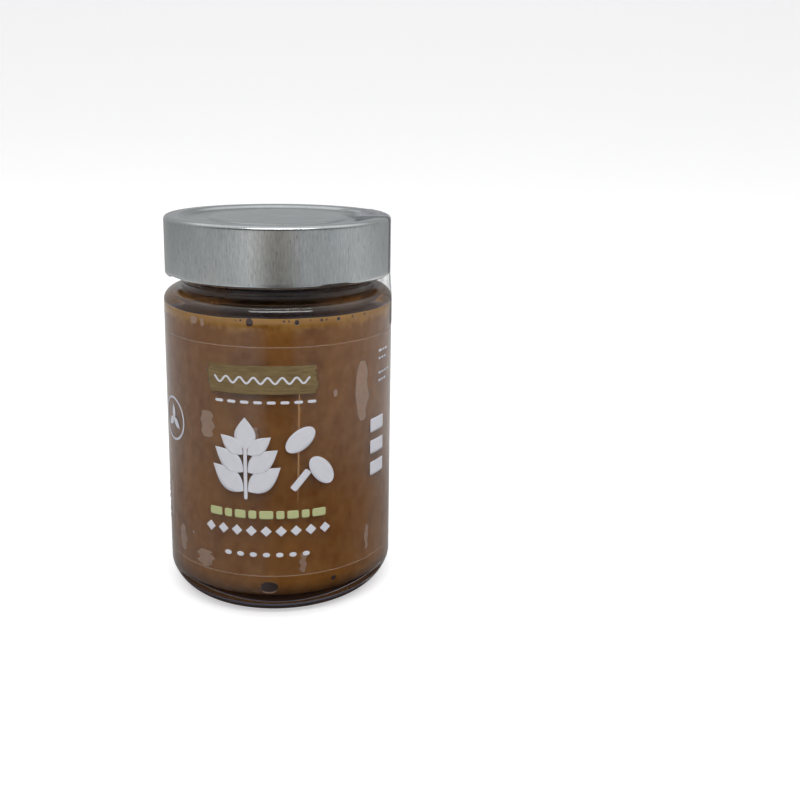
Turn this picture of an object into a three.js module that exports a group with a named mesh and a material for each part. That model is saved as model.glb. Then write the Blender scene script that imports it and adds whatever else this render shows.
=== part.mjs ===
// A filled glass jar of peanut butter with a deep metal twist-off lid, a clear film label
// and a clear seal strip from the lid to the glass. Millimetres, +Z up.
// The origin is the centre of the jar's foot, on the surface it stands on.
import * as THREE from 'three';

// How finely the round pieces are turned.
const TURN_SEGMENTS = 56;
const ARC_STEPS = 4;

// The glass: outer wall, shoulder, neck and the wider finish that the lid closes on.
const BODY_RADIUS = 36;
const WALL = 2.4;
const HEEL_HEIGHT = 8.5;
const HEEL_BLEND = 1.6;
const FOOT_RADIUS = 28.5;
const FOOT_RING_WIDTH = 3;
const PUSH_UP = 2.4;
const SHOULDER_TOP = 97.8;
const SHOULDER_DEPTH = 5;
const SHOULDER_DROP = 4;
const SHOULDER_WALL = 1.4;
const NECK_RADIUS = 30.5;
const NECK_WALL = 2.2;
const FINISH_RADIUS = 33.2;
const FINISH_BOTTOM = 105;
const FINISH_TOP = 118.2;
const FINISH_BLEND = 1;
const FLOOR_CORNER_HEIGHT = 6.2;
const FLOOR_CENTRE_HEIGHT = 7.2;
const INNER_HEEL_DEPTH = 6.5;
const INNER_HEEL_HEIGHT = 5.5;

// The contents, poured to this level, and the gap that keeps them clear of the glass.
const FILL_LEVEL = 93.1;
const FILL_GAP = 0.3;
const FILL_CROWN = 0.5;

// The lid: a drawn cap with a curled edge, four lugs, a recessed panel and a raised disc.
const LID_RADIUS = 35.4;
const LID_BOTTOM = 101.8;
const TOTAL_HEIGHT = 120;
const LID_SHEET = 0.5;
const LID_RIM_RADIUS = 1.3;
const CURL_RADIUS = 0.8;
const RIM_FLAT_INNER = 31;
const PANEL_RADIUS = 29.8;
const PANEL_DROP = 1.1;
const DISC_RADIUS = 21.6;
const DISC_RISE = 0.45;
const STEP_WIDTH = 0.8;
const LUG_COUNT = 4;
const LUG_TURN = THREE.MathUtils.degToRad(35);
const LUG_HALF_ANGLE = THREE.MathUtils.degToRad(11);
const LUG_NOTCH = 0.6;
const LUG_REACH = 1.6;
const LUG_HEIGHT = 2.4;

// The clear film pieces, a little thicker than real film, and clear of the glass.
const FILM_GAP = 0.1;
const FILM_THICKNESS = 0.25;
const LABEL_BOTTOM = 14;
const LABEL_TOP = 85.2;
const STRIP_WIDTH = 25;
const STRIP_TURN = THREE.MathUtils.degToRad(102);
const STRIP_BOTTOM = 86;
const STRIP_TOP_END = 24.5;
const STRIP_STEPS = 8;

// Points of an elliptical arc in the (radius, height) plane, angles in degrees from outward.
function arc(centreR, centreZ, spanR, spanZ, from, to, steps = ARC_STEPS) {
  return Array.from({ length: steps + 1 }, (_, i) => {
    const angle = THREE.MathUtils.degToRad(from + ((to - from) * i) / steps);
    return [centreR + spanR * Math.cos(angle), centreZ + spanZ * Math.sin(angle)];
  });
}

// The heel's superellipse, from the foot's outer edge up to the wall.
function heel() {
  const spanR = BODY_RADIUS - FOOT_RADIUS;
  return Array.from({ length: ARC_STEPS + 3 }, (_, i) => {
    const angle = (Math.PI / 2) * (i / (ARC_STEPS + 2));
    return [
      FOOT_RADIUS + spanR * Math.sin(angle) ** (2 / HEEL_BLEND),
      HEEL_HEIGHT * (1 - Math.cos(angle) ** (2 / HEEL_BLEND)),
    ];
  });
}

// A solid of revolution about Z. The profile's points are [radius, height], the outside going up.
function turned(profile) {
  const points = profile.map(([radius, height]) => new THREE.Vector2(radius, height));
  const geometry = new THREE.LatheGeometry(points, TURN_SEGMENTS);
  return geometry.rotateX(Math.PI / 2);
}

// The inner wall below the neck, from the floor's corner up to the neck, drawn in by a gap.
function innerWall(gap) {
  const radius = BODY_RADIUS - WALL;
  const bottom = FLOOR_CORNER_HEIGHT + INNER_HEEL_HEIGHT;
  const neckInner = NECK_RADIUS - NECK_WALL;
  const shoulderTop = SHOULDER_TOP - SHOULDER_WALL;
  const spanR = SHOULDER_DEPTH - WALL;
  const spanZ = SHOULDER_DROP - WALL;
  return {
    floor: arc(radius - INNER_HEEL_DEPTH, bottom, INNER_HEEL_DEPTH - gap, INNER_HEEL_HEIGHT - gap, -90, 0),
    shoulder: arc(radius - spanR, shoulderTop - spanZ, spanR - gap, spanZ - gap, 0, 90),
    throat: arc(neckInner + WALL / 2, shoulderTop + WALL / 2, WALL / 2, WALL / 2, 270, 180, 3),
  };
}

function jarProfile() {
  const footInner = FOOT_RADIUS - FOOT_RING_WIDTH;
  const underside = Array.from({ length: ARC_STEPS }, (_, i) => {
    const share = i / ARC_STEPS;
    return [footInner * share, PUSH_UP * (1 - share ** 2)];
  });
  const neckInner = NECK_RADIUS - NECK_WALL;
  const lip = (FINISH_RADIUS - neckInner) / 2;
  const { floor, shoulder, throat } = innerWall(0);
  return [
    ...underside,
    [footInner, 0],
    ...heel(),
    ...arc(BODY_RADIUS - SHOULDER_DEPTH, SHOULDER_TOP - SHOULDER_DROP, SHOULDER_DEPTH, SHOULDER_DROP, 0, 90),
    [NECK_RADIUS, SHOULDER_TOP + FINISH_BLEND],
    [NECK_RADIUS, FINISH_BOTTOM - FINISH_BLEND],
    [FINISH_RADIUS, FINISH_BOTTOM + FINISH_BLEND],
    ...arc(FINISH_RADIUS - lip, FINISH_TOP - FINISH_BLEND, lip, FINISH_BLEND, 0, 180),
    ...throat.slice().reverse(),
    ...shoulder.slice().reverse(),
    ...floor.slice().reverse(),
    [0, FLOOR_CENTRE_HEIGHT],
  ];
}

function contentsProfile() {
  const { floor } = innerWall(FILL_GAP);
  const edge = BODY_RADIUS - WALL - FILL_GAP;
  return [
    [0, FLOOR_CENTRE_HEIGHT + FILL_GAP],
    ...floor,
    [edge, FILL_LEVEL - FILL_CROWN],
    [edge - FILL_CROWN, FILL_LEVEL],
    [edge / 2, FILL_LEVEL + FILL_CROWN],
    [0, FILL_LEVEL + FILL_CROWN],
  ];
}

function lidProfile() {
  const curlR = LID_RADIUS - CURL_RADIUS;
  const curlZ = LID_BOTTOM + CURL_RADIUS;
  const rimR = LID_RADIUS - LID_RIM_RADIUS;
  const rimZ = TOTAL_HEIGHT - LID_RIM_RADIUS;
  const panel = TOTAL_HEIGHT - PANEL_DROP;
  const innerRim = LID_RIM_RADIUS - LID_SHEET;
  return [
    ...arc(curlR, curlZ, CURL_RADIUS, CURL_RADIUS, -180, 0),
    ...arc(rimR, rimZ, LID_RIM_RADIUS, LID_RIM_RADIUS, 0, 90),
    [RIM_FLAT_INNER, TOTAL_HEIGHT],
    [PANEL_RADIUS, panel],
    [DISC_RADIUS + STEP_WIDTH, panel],
    [DISC_RADIUS, panel + DISC_RISE],
    [0, panel + DISC_RISE],
    [0, panel + DISC_RISE - LID_SHEET],
    [DISC_RADIUS, panel + DISC_RISE - LID_SHEET],
    [DISC_RADIUS + STEP_WIDTH, panel - LID_SHEET],
    [PANEL_RADIUS, panel - LID_SHEET],
    [RIM_FLAT_INNER, TOTAL_HEIGHT - LID_SHEET],
    ...arc(rimR, rimZ, innerRim, innerRim, 90, 0),
    [LID_RADIUS - LID_SHEET, curlZ + CURL_RADIUS],
    [curlR - CURL_RADIUS, curlZ + CURL_RADIUS],
    [curlR - CURL_RADIUS, curlZ],
  ];
}

// 1 at a lug's middle, falling smoothly to 0 at its ends.
function lugShare(angle) {
  const pitch = (2 * Math.PI) / LUG_COUNT;
  const offset = THREE.MathUtils.euclideanModulo(angle - LUG_TURN + pitch / 2, pitch) - pitch / 2;
  const share = Math.max(0, 1 - Math.abs(offset) / LUG_HALF_ANGLE);
  return THREE.MathUtils.smoothstep(share, 0, 0.6);
}

// At each lug the skirt's lower edge lifts a little and the curl reaches in under the finish.
function pressLugs(geometry) {
  const position = geometry.attributes.position;
  const midR = LID_RADIUS - CURL_RADIUS;
  for (let i = 0; i < position.count; i++) {
    const x = position.getX(i);
    const y = position.getY(i);
    const z = position.getZ(i);
    const low = Math.max(0, 1 - (z - LID_BOTTOM) / LUG_HEIGHT);
    const lug = lugShare(Math.atan2(x, -y)) * low;
    const radius = Math.hypot(x, y);
    const drawn = radius < midR ? (radius - LUG_REACH * lug) / radius : 1;
    position.setXYZ(i, x * drawn, y * drawn, z + LUG_NOTCH * lug);
  }
  return geometry;
}

function bandProfile(radius, bottom, top) {
  return [
    [radius + FILM_THICKNESS, bottom],
    [radius + FILM_THICKNESS, top],
    [radius, top],
    [radius, bottom],
    [radius + FILM_THICKNESS, bottom],
  ];
}

// The seal strip's inner face as a line of [radius, height], from the lid's top down to the glass.
function stripLine() {
  const rim = LID_RIM_RADIUS + FILM_GAP;
  const over = arc(LID_RADIUS - LID_RIM_RADIUS, TOTAL_HEIGHT - LID_RIM_RADIUS, rim, rim, 90, 0);
  const glass = BODY_RADIUS + FILM_GAP;
  return [
    [STRIP_TOP_END, TOTAL_HEIGHT + FILM_GAP],
    ...over,
    [LID_RADIUS + FILM_GAP, LID_BOTTOM],
    [glass, SHOULDER_TOP - SHOULDER_DROP],
    [glass, STRIP_BOTTOM],
  ];
}

// A thin closed sheet that follows the line, as wide as the strip at every radius.
function stripGeometry() {
  const line = stripLine();
  const lifted = line.map(([radius, height], i) => {
    const [r0, z0] = line[Math.max(0, i - 1)];
    const [r1, z1] = line[Math.min(line.length - 1, i + 1)];
    const length = Math.hypot(r1 - r0, z1 - z0);
    const outR = (-(z1 - z0) / length) * FILM_THICKNESS;
    const outZ = ((r1 - r0) / length) * FILM_THICKNESS;
    return [radius + outR, height + outZ];
  });
  const columns = STRIP_STEPS + 1;
  const positions = [];
  const addFace = (points) => {
    for (const [radius, height] of points) {
      for (let j = 0; j < columns; j++) {
        const turn = STRIP_TURN + ((j / STRIP_STEPS - 0.5) * STRIP_WIDTH) / radius;
        positions.push(radius * Math.sin(turn), -radius * Math.cos(turn), height);
      }
    }
  };
  addFace(lifted);
  addFace(line);
  const under = line.length * columns;
  const index = [];
  const quad = (a, b, c, d) => index.push(a, b, c, a, c, d);
  for (let i = 0; i + 1 < line.length; i++) {
    for (let j = 0; j + 1 < columns; j++) {
      const a = i * columns + j;
      quad(a, a + columns, a + columns + 1, a + 1);
      quad(under + a, under + a + 1, under + a + columns + 1, under + a + columns);
    }
    const first = i * columns;
    const last = first + columns - 1;
    quad(first, under + first, under + first + columns, first + columns);
    quad(last, last + columns, under + last + columns, under + last);
  }
  for (let j = 0; j + 1 < columns; j++) {
    const end = (line.length - 1) * columns + j;
    quad(j, j + 1, under + j + 1, under + j);
    quad(end, under + end, under + end + 1, end + 1);
  }
  const geometry = new THREE.BufferGeometry();
  geometry.setAttribute('position', new THREE.Float32BufferAttribute(positions, 3));
  geometry.setIndex(index);
  return geometry;
}

function piece(name, geometry, material) {
  const mesh = new THREE.Mesh(geometry, new THREE.MeshStandardMaterial(material));
  mesh.name = name;
  return mesh;
}

const clear = { transparent: true, opacity: 0.35 };
const jar = new THREE.Group();
jar.add(
  piece('glass_jar', turned(jarProfile()), { color: 0xdfe6e2, roughness: 0.03, metalness: 0, ...clear }),
  piece('peanut_butter', turned(contentsProfile()), { color: 0x7a4d26, roughness: 0.45, metalness: 0 }),
  piece('lid', pressLugs(turned(lidProfile())), { color: 0x9aa0a0, roughness: 0.35, metalness: 0.9 }),
  piece(
    'label_film',
    turned(bandProfile(BODY_RADIUS + FILM_GAP, LABEL_BOTTOM, LABEL_TOP)),
    { color: 0xd8d4cc, roughness: 0.2, metalness: 0, ...clear },
  ),
  piece('seal_strip', stripGeometry(), { color: 0xd5d8e0, roughness: 0.15, metalness: 0, ...clear }),
);

export default jar;
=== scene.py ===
"""A shut glass jar of peanut butter with a deep satin lid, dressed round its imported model.

Lengths in the code are millimetres until a mesh is made, and metres in Blender. The frame is the
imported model's: +Z up, the jar's axis through the origin, its foot at Z = 0. A turn is an angle
about that axis, in degrees from -Y towards +X.
"""

from __future__ import annotations

import logging
import math
from dataclasses import dataclass
from enum import Enum
from typing import Callable

import bpy
import numpy as np
from mathutils import Matrix, Vector

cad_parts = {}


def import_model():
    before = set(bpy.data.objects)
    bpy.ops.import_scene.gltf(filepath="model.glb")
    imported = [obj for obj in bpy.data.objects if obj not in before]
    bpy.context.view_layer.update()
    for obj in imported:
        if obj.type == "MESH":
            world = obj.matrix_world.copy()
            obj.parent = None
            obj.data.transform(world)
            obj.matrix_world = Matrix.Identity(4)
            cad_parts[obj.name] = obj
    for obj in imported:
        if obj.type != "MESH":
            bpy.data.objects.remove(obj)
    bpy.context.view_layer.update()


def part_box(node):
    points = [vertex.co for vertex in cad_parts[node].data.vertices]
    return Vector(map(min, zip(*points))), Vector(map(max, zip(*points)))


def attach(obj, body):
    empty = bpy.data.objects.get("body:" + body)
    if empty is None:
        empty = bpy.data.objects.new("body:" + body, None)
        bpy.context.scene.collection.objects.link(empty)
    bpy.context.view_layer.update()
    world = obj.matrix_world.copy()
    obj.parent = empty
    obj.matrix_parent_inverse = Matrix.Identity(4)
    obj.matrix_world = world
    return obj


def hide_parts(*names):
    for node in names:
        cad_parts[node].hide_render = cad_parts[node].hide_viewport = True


LOG = logging.getLogger("jar")
MM = 0.001
BODY = "root"
SAME_POINT = 1e-4
ON_AXIS = 1e-6
LEAST_HALF = 0.01
AIR_DEPTH = 0.2
INK_LIFT = 0.02

Array = np.ndarray
Pair = tuple[float, float]
Triple = tuple[float, float, float]
Colour = tuple[float, float, float, float]
Bend = Callable[[Array, Array, Array], tuple[Array, Array, Array]]
Socket = bpy.types.NodeSocket


def node_box(node: str) -> tuple[Array, Array]:
    """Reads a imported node's box.

    Args:
        node: the node's name.

    Returns:
        Its lowest and highest corners, in millimetres.
    """
    low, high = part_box(node)
    return np.array(low) / MM, np.array(high) / MM


def arc(centre: Pair, span: Pair, start: float, stop: float, steps: int = 14) -> Array:
    """An elliptical arc: centre + span * (cos, sin) of an angle that runs evenly.

    Args:
        centre: the ellipse's centre, as radius and height.
        span: its half axes, outward and upward.
        start: the first angle, in degrees from outward.
        stop: the last angle.
        steps: how many segments the arc has.

    Returns:
        The arc's points, one row of radius and height each.
    """
    angle = np.radians(np.linspace(start, stop, steps + 1))
    return np.array(centre) + np.array(span) * np.column_stack((np.cos(angle), np.sin(angle)))


def straight(start: Pair, stop: Pair, steps: int) -> Array:
    """Points evenly along a straight line, both ends included."""
    share = np.linspace(0.0, 1.0, steps + 1)[:, None]
    return np.array(start) * (1 - share) + np.array(stop) * share


def outline(*parts: Array | Pair) -> Array:
    """Chains arcs, lines and single points, and drops points that repeat the one before.

    Args:
        parts: arrays of rows of radius and height, or single points.

    Returns:
        The whole outline, one point a row.
    """
    rows = np.vstack([np.atleast_2d(np.array(part, float)) for part in parts])
    apart = np.hypot(*np.diff(rows, axis=0).T) > SAME_POINT
    return rows[np.concatenate(([True], apart))]


def rounded(corners: list[Triple], steps: int = 6) -> Array:
    """A polyline whose inner corners are replaced by quadratic curves.

    Each corner C with reach d between A and B becomes the curve
    (1-t)^2 (C + d*toA) + 2t(1-t) C + t^2 (C + d*toB).

    Args:
        corners: radius, height and reach of each corner; the ends' reach is ignored.
        steps: segments of each curve.

    Returns:
        The rounded line's points.
    """
    points = np.array([corner[:2] for corner in corners])
    rows = [points[:1]]
    t = np.linspace(0.0, 1.0, steps + 1)[:, None]
    for before, here, after, corner in zip(points, points[1:], points[2:], corners[1:]):
        back = here + (before - here) * min(0.5, corner[2] / np.hypot(*(before - here)))
        ahead = here + (after - here) * min(0.5, corner[2] / np.hypot(*(after - here)))
        rows.append((1 - t) ** 2 * back + 2 * t * (1 - t) * here + t**2 * ahead)
    rows.append(points[-1:])
    return np.vstack(rows)


def together(*parts: Array | float) -> Array:
    """Stacks arrays of one broadcast shape along a new last axis."""
    return np.stack(np.broadcast_arrays(*parts), axis=-1)


def run_along(line: Array) -> Array:
    """The distance from a line's start to each of its points."""
    return np.concatenate(([0.0], np.cumsum(np.hypot(*np.diff(line, axis=0).T))))


def headings(line: Array) -> Array:
    """The unit direction of a line at each of its points."""
    ahead = np.gradient(line, axis=0)
    return ahead / np.hypot(*ahead.T)[:, None]


def on_axis_turn(turn: Array, radius: Array | float, height: Array) -> Array:
    """Places points by turn, radius and height: x = r sin t, y = -r cos t, z = h."""
    angle = np.radians(turn)
    return together(radius * np.sin(angle), -radius * np.cos(angle), height)


def smooth(value: Array, low: float, high: float) -> Array:
    """0 below low, 1 above high, and the cubic 3s^2 - 2s^3 between."""
    share = np.clip((value - low) / (high - low), 0.0, 1.0)
    return share * share * (3 - 2 * share)


def grid_quads(rows: int, cols: int, wrap: bool, first: int = 0) -> Array:
    """Quads of a grid of vertices stored row by row.

    Args:
        rows: vertices down the grid.
        cols: vertices along a row.
        wrap: whether a row's last vertex joins its first.
        first: the grid's first vertex index.

    Returns:
        An array of four indices a face.
    """
    across = np.arange(cols if wrap else cols - 1)
    i, j = np.meshgrid(np.arange(rows - 1), across, indexing="ij")
    here, beside = first + i * cols + j, first + i * cols + (j + 1) % cols
    return np.stack((here, beside, beside + cols, here + cols), axis=-1).reshape(-1, 4)


def placed(name: str, data: bpy.types.ID) -> bpy.types.Object:
    """Puts a new object with this data in the scene, at the origin."""
    made = bpy.data.objects.new(name, data)
    bpy.context.scene.collection.objects.link(made)
    return made


@dataclass
class Shape:
    """Vertices in millimetres with faces, and a UV pair for each vertex."""

    points: Array
    faces: list[Array]
    uv: Array

    @staticmethod
    def joined(shapes: list[Shape]) -> Shape:
        """Several shapes as one."""
        offsets = np.cumsum([0] + [len(shape.points) for shape in shapes[:-1]])
        faces = [face + offset for shape, offset in zip(shapes, offsets) for face in shape.faces]
        points = np.vstack([shape.points for shape in shapes])
        return Shape(points, faces, np.vstack([shape.uv for shape in shapes]))

    def piece(self, name: str, material: bpy.types.Material, slot: str) -> bpy.types.Object:
        """Makes the Blender object, smooth shaded, riding on the jar's one body.

        Args:
            name: the piece's name.
            material: its finish.
            slot: the record's material slot it stands for; not used.

        Returns:
            The new object.
        """
        mesh = bpy.data.meshes.new(name)
        corners = np.concatenate([face.ravel() for face in self.faces]).astype(np.int32)
        sizes = np.concatenate([np.full(len(face), face.shape[1]) for face in self.faces])
        starts = np.concatenate(([0], np.cumsum(sizes)[:-1])).astype(np.int32)
        mesh.vertices.add(len(self.points))
        mesh.vertices.foreach_set("co", (self.points * MM).astype(np.float32).ravel())
        mesh.loops.add(len(corners))
        mesh.loops.foreach_set("vertex_index", corners)
        mesh.polygons.add(len(sizes))
        mesh.polygons.foreach_set("loop_start", starts)
        mesh.update(calc_edges=True)
        layer = mesh.uv_layers.new(name="surface")
        layer.data.foreach_set("uv", self.uv[corners].astype(np.float32).ravel())
        mesh.polygons.foreach_set("use_smooth", np.ones(len(sizes), bool))
        mesh.validate()
        mesh.materials.append(material)
        made = placed(name, mesh)
        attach(made, BODY)
        LOG.info("%s: %d vertices, %d faces", name, len(self.points), len(sizes))
        return made


def revolved(line: Array, turns: int, bend: Bend | None = None) -> Shape:
    """Turns an outline about the axis: the point (r, h) becomes a ring of radius r at height h.

    The outline runs up the outside. It either starts and ends on the axis or closes on itself.

    Args:
        line: rows of radius and height.
        turns: vertices round each ring.
        bend: moves the rings' points, given arrays of turn, radius and height, which it returns.

    Returns:
        The closed shape, with UV in millimetres: along the ring at its largest, and up the outline.
    """
    poles = line[0, 0] < ON_AXIS
    kept = slice(1 if poles else 0, -1)
    run = run_along(line)
    rings = line[kept]
    turn = np.linspace(0.0, 360.0, turns, endpoint=False)
    grid = np.broadcast_arrays(turn, rings[:, :1], rings[:, 1:])
    points = on_axis_turn(*(bend(*grid) if bend else grid)).reshape(-1, 3)
    circle = np.radians(turn) * line[:, 0].max()
    uv = together(circle, run[kept, None]).reshape(-1, 2)
    faces = [grid_quads(len(rings), turns, True)]
    here = np.arange(turns)
    beside = (here + 1) % turns
    last = (len(rings) - 1) * turns
    if poles:
        low, high = len(points), len(points) + 1
        points = np.vstack((points, [[0.0, 0.0, line[0, 1]], [0.0, 0.0, line[-1, 1]]]))
        uv = np.vstack((uv, [[0.0, run[0]], [0.0, run[-1]]]))
        faces.append(np.column_stack((beside, here, np.full(turns, low))))
        faces.append(np.column_stack((last + here, last + beside, np.full(turns, high))))
    else:
        faces.append(np.column_stack((last + here, last + beside, beside, here)))
    return Shape(points, faces, uv)


def revolved_cap(line: Array, turns: int, bend: Bend) -> Shape:
    """Turns an outline that closes on itself and touches the axis between two of its points.

    The outline is started again at its lower axis point, so that it runs from pole to pole:
    up the underside's hollow side is the same as up the outside for a closed shell.

    Args:
        line: rows of radius and height whose last point meets the first.
        turns: vertices round each ring.
        bend: moves the rings' points.

    Returns:
        The closed shape.
    """
    start = int(np.flatnonzero(line[:, 0] < ON_AXIS)[-1])
    return revolved(np.vstack((line[start:], line[:start])), turns, bend)


def sheet(inner: Array, outer: Array, uv: Array, wrap: bool) -> Shape:
    """A thin closed sheet between two grids of points of the same layout.

    Args:
        inner: the back's points, rows by columns by three.
        outer: the front's points.
        uv: a pair for each grid point.
        wrap: whether each row closes on itself.

    Returns:
        Both faces, stitched round their open edges.
    """
    rows, cols = inner.shape[:2]
    count = rows * cols
    faces = [grid_quads(rows, cols, wrap), grid_quads(rows, cols, wrap, count)[:, ::-1]]
    index = np.arange(count).reshape(rows, cols)
    edges = [(index[0], False), (index[-1], True)]
    if not wrap:
        edges += [(index[:, 0], True), (index[:, -1], False)]
    for line, turned in edges:
        here, beside = (line, np.roll(line, -1)) if wrap else (line[:-1], line[1:])
        side = np.column_stack((beside, here, here + count, beside + count))
        faces.append(side[:, ::-1] if turned else side)
    pair = uv.reshape(-1, 2)
    points = np.vstack((outer.reshape(-1, 3), inner.reshape(-1, 3)))
    return Shape(points, faces, np.vstack((pair, pair)))


class Nodes:
    """Builds one shader tree, with short calls for the kinds of node the finishes use."""

    def __init__(self, tree: bpy.types.NodeTree) -> None:
        """Starts on an empty or cleared tree."""
        self.tree = tree
        tree.nodes.clear()

    def put(self, value: object, socket: Socket) -> None:
        """Sets a socket's value, or links it where the value is another socket."""
        if isinstance(value, Socket):
            self.tree.links.new(value, socket)
        else:
            socket.default_value = value

    def feed(self, node: bpy.types.Node, **values: object) -> None:
        """Puts values into a node's inputs, named with underscores for spaces."""
        for key, value in values.items():
            self.put(value, node.inputs[key.replace("_", " ")])

    def add(self, kind: str, *inputs: object, **values: object) -> bpy.types.Node:
        """Adds a node, sets its properties and inputs, and links it.

        Args:
            kind: the node's type name.
            inputs: values or sockets for its first inputs, in order.
            values: properties in small letters, and inputs by name with a capital.

        Returns:
            The node.
        """
        node = self.tree.nodes.new(kind)
        for key, value in values.items():
            if key.islower():
                setattr(node, key, value)
            else:
                self.feed(node, **{key: value})
        for value, socket in zip(inputs, node.inputs):
            self.put(value, socket)
        return node

    def math(self, kind: str, first: object, second: object = 0.0, third: object = 0.0) -> Socket:
        """One arithmetic step, clamped only where its kind says so."""
        return self.add("ShaderNodeMath", first, second, third, operation=kind).outputs[0]

    def times(self, first: object, second: object) -> Socket:
        """The product of two numbers."""
        return self.math("MULTIPLY", first, second)

    def vector(self, kind: str, first: object, second: object = (0.0, 0.0, 0.0)) -> bpy.types.Node:
        """One step on whole vectors."""
        return self.add("ShaderNodeVectorMath", first, second, operation=kind)

    def between(
        self, value: Socket, low: float, high: float, start: float = 0.0, stop: float = 1.0
    ) -> Socket:
        """Maps low..high to start..stop smoothly, clamped."""
        ends = (low, high, start, stop)
        node = self.add("ShaderNodeMapRange", value, *ends, interpolation_type="SMOOTHSTEP")
        return node.outputs["Result"]

    def mix(self, share: object, first: object, second: object) -> Socket:
        """Mixes two colours."""
        node = self.add("ShaderNodeMix", data_type="RGBA")
        for index, value in ((0, share), (6, first), (7, second)):
            self.put(value, node.inputs[index])
        return node.outputs[2]

    def mask(self, tree: bpy.types.NodeTree, where: Socket, **values: object) -> Socket:
        """Places a shared group with its own values, and gives its mask."""
        return self.add("ShaderNodeGroup", node_tree=tree, Vector=where, **values).outputs["Mask"]

    def bump(self, height: Socket, strength: float, depth: float) -> Socket:
        """A normal raised by a mask, whose full depth is in millimetres."""
        node = self.add("ShaderNodeBump", Strength=strength, Distance=depth * MM, Height=height)
        return node.outputs[0]

    def cells(self, given: bpy.types.Node, size: str) -> Socket:
        """A group's vector as a count of cells of its size, stretched upright."""
        rate = self.math("DIVIDE", 1.0, given.outputs[size])
        upright = self.math("DIVIDE", rate, given.outputs["Upright"])
        scale = self.add("ShaderNodeCombineXYZ", rate, rate, upright).outputs[0]
        return self.vector("MULTIPLY", given.outputs["Vector"], scale).outputs[0]

    def part(self, vector: Socket, axis: str) -> Socket:
        """A vector's X, Y or Z."""
        return self.add("ShaderNodeSeparateXYZ", vector).outputs[axis]

    def place(self) -> Socket:
        """The point on the object, in millimetres."""
        where = self.add("ShaderNodeTexCoord").outputs["Object"]
        return self.add("ShaderNodeVectorMath", where, operation="SCALE", Scale=1 / MM).outputs[0]

    def aside(self, where: Socket) -> Socket:
        """A point's offset from the jar's axis, without its height."""
        return self.vector("MULTIPLY", where, (1.0, 1.0, 0.0)).outputs[0]

    def from_axis(self, where: Socket) -> Socket:
        """A point's distance from the jar's axis."""
        return self.vector("LENGTH", self.aside(where)).outputs["Value"]

    def surface_uv(self) -> Socket:
        """The piece's own UV, in millimetres along and up its surface."""
        return self.add("ShaderNodeUVMap", uv_map="surface").outputs[0]


def rgb(red: float, green: float, blue: float) -> Colour:
    """A display colour of 0 to 255 as the linear colour Blender's sockets hold."""
    shares = [part / 255 for part in (red, green, blue)]
    return (*[s / 12.92 if s <= 0.04045 else ((s + 0.055) / 1.055) ** 2.4 for s in shares], 1.0)


def new_group(name: str, **numbers: float) -> tuple[Nodes, bpy.types.Node]:
    """Starts a shader node group that makes one mask from a vector and some numbers.

    Args:
        name: the group's name.
        numbers: each number's default, by the name of its input.

    Returns:
        The group's node builder and its input node.
    """
    tree = bpy.data.node_groups.new(name, "ShaderNodeTree")
    tree.interface.new_socket(name="Vector", in_out="INPUT", socket_type="NodeSocketVector")
    for label, default in numbers.items():
        kind = "NodeSocketFloat"
        socket = tree.interface.new_socket(name=label, in_out="INPUT", socket_type=kind)
        socket.default_value = default
    tree.interface.new_socket(name="Mask", in_out="OUTPUT", socket_type="NodeSocketFloat")
    n = Nodes(tree)
    return n, n.add("NodeGroupInput")


def drift_group() -> bpy.types.NodeTree:
    """Soft uneven patches: stretched noise brought to 0..1 by a contrast."""
    n, given = new_group("drift", Size=10.0, Upright=1.0, Contrast=2.0)
    where = n.cells(given, "Size")
    noise = n.add("ShaderNodeTexNoise", Vector=where, Scale=1.0, Detail=3.0, Roughness=0.55)
    centred = n.math("SUBTRACT", noise.outputs["Fac"], 0.5)
    spread = n.math("MULTIPLY_ADD", centred, given.outputs["Contrast"], 0.5)
    n.add("NodeGroupOutput", Mask=n.add("ShaderNodeClamp", spread).outputs[0])
    return n.tree


def fleck_group() -> bpy.types.NodeTree:
    """Small separate specks: 1 near the points of a jittered cell pattern, picked by a share."""
    n, given = new_group("fleck", Spacing=2.0, Upright=1.0, Radius=0.2, Share=0.4)
    cells = n.add("ShaderNodeTexVoronoi", Vector=n.cells(given, "Spacing"), Scale=1.0)
    red = n.add("ShaderNodeSeparateColor", cells.outputs["Color"]).outputs[0]
    picked = n.math("LESS_THAN", red, given.outputs["Share"])
    near = n.math("SUBTRACT", given.outputs["Radius"], cells.outputs["Distance"])
    soft = n.math("DIVIDE", near, given.outputs["Radius"])
    shown = n.add("ShaderNodeClamp", n.times(soft, 2.0)).outputs[0]
    n.add("NodeGroupOutput", Mask=n.times(shown, picked))
    return n.tree


class SharedGroups:
    """The node groups that more than one finish places, each built once."""

    def __init__(self) -> None:
        """Builds both groups."""
        self.drift = drift_group()
        self.fleck = fleck_group()


def new_material(name: str) -> tuple[bpy.types.Material, Nodes, bpy.types.Node]:
    """Starts a material.

    Args:
        name: the material's name.

    Returns:
        The material, its node builder, and its Principled shader, already linked to the output.
    """
    material = bpy.data.materials.new(name)
    material.use_nodes = True
    n = Nodes(material.node_tree)
    shader = n.add("ShaderNodeBsdfPrincipled")
    n.add("ShaderNodeOutputMaterial", shader.outputs[0])
    return material, n, shader


@dataclass(frozen=True)
class GlassFinish:
    """Clear flint glass with the faintest waviness of a blown wall."""

    tint: Colour = (0.975, 0.985, 0.98, 1.0)
    wave: float = 0.02
    wave_depth: float = 0.2

    def material(self, shared: SharedGroups) -> bpy.types.Material:
        """Smooth glass: only its normal varies."""
        material, n, shader = new_material("jar_glass")
        swell = n.mask(shared.drift, n.place(), Size=9.0, Upright=1.6, Contrast=1.5)
        n.feed(shader, Base_Color=self.tint, Transmission_Weight=1.0, Roughness=0.0, IOR=1.5)
        n.feed(shader, Normal=n.bump(swell, self.wave, self.wave_depth))
        return material


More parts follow.
